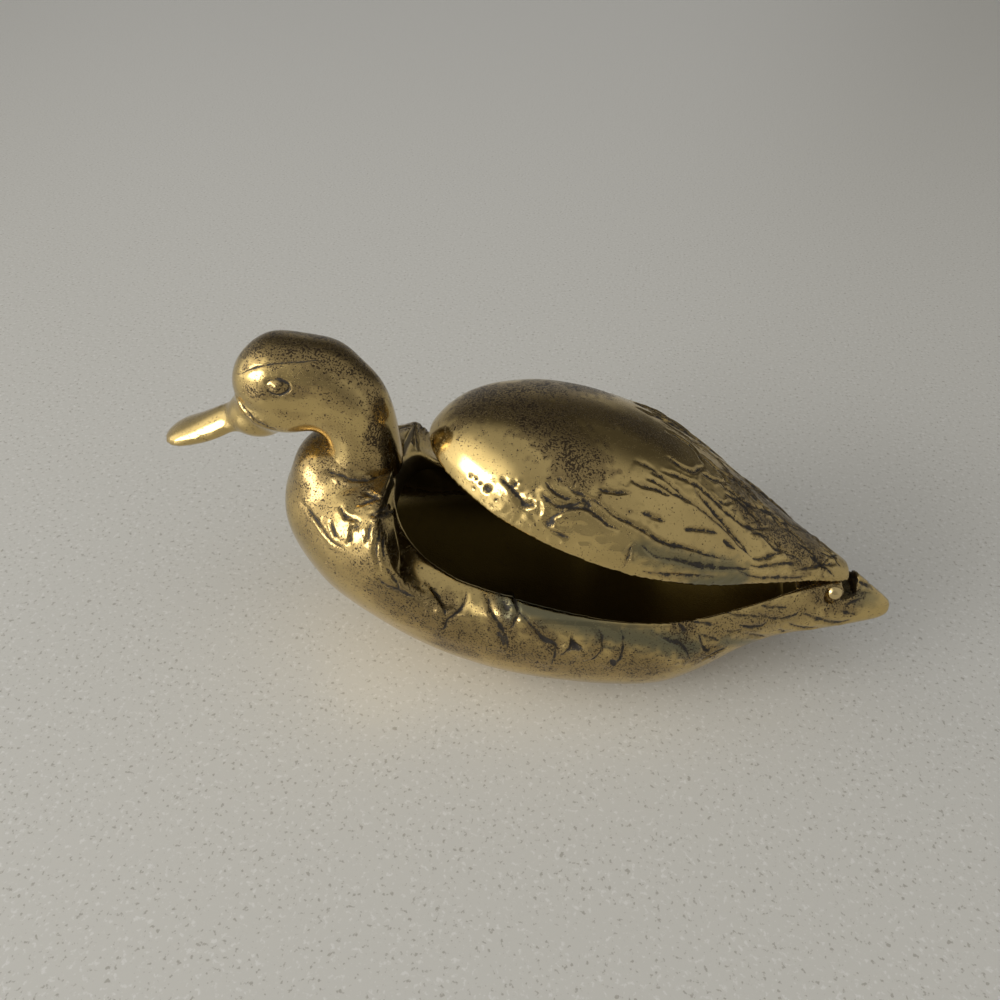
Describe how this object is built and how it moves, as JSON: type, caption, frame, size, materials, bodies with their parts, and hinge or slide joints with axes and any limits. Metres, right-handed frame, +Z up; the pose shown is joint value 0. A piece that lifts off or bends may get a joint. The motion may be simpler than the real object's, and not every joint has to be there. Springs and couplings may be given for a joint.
{
  "type": "brass duck",
  "caption": "Cast brass duck ornament with a hollow body, a flat foot and a hinged back that lifts to open the bowl.",
  "frame": {"origin": "middle of the flat foot that the duck stands on", "axes": "+X from the bill towards the tail, +Y towards the duck's left side, +Z up"},
  "size_m": [0.206, 0.0675, 0.092],
  "materials": {
    "body_brass": "aged polish",
    "head_brass": "aged polish",
    "lid_brass": "tarnished polish",
    "pin_brass": "worn polish"
  },
  "bodies": {
    "duck_body": {"body": "body_brass", "head_neck": "head_brass", "hinge_pin": "pin_brass"},
    "duck_lid": {"lid": "lid_brass"}
  },
  "joints": [
    {"name": "lid_hinge", "type": "hinge", "parent": "duck_body", "child": "duck_lid", "pos_m": [0.0815, 0, 0.0344], "axis": [0, 1, 0], "range_deg": [-15.3, 60]}
  ]
}
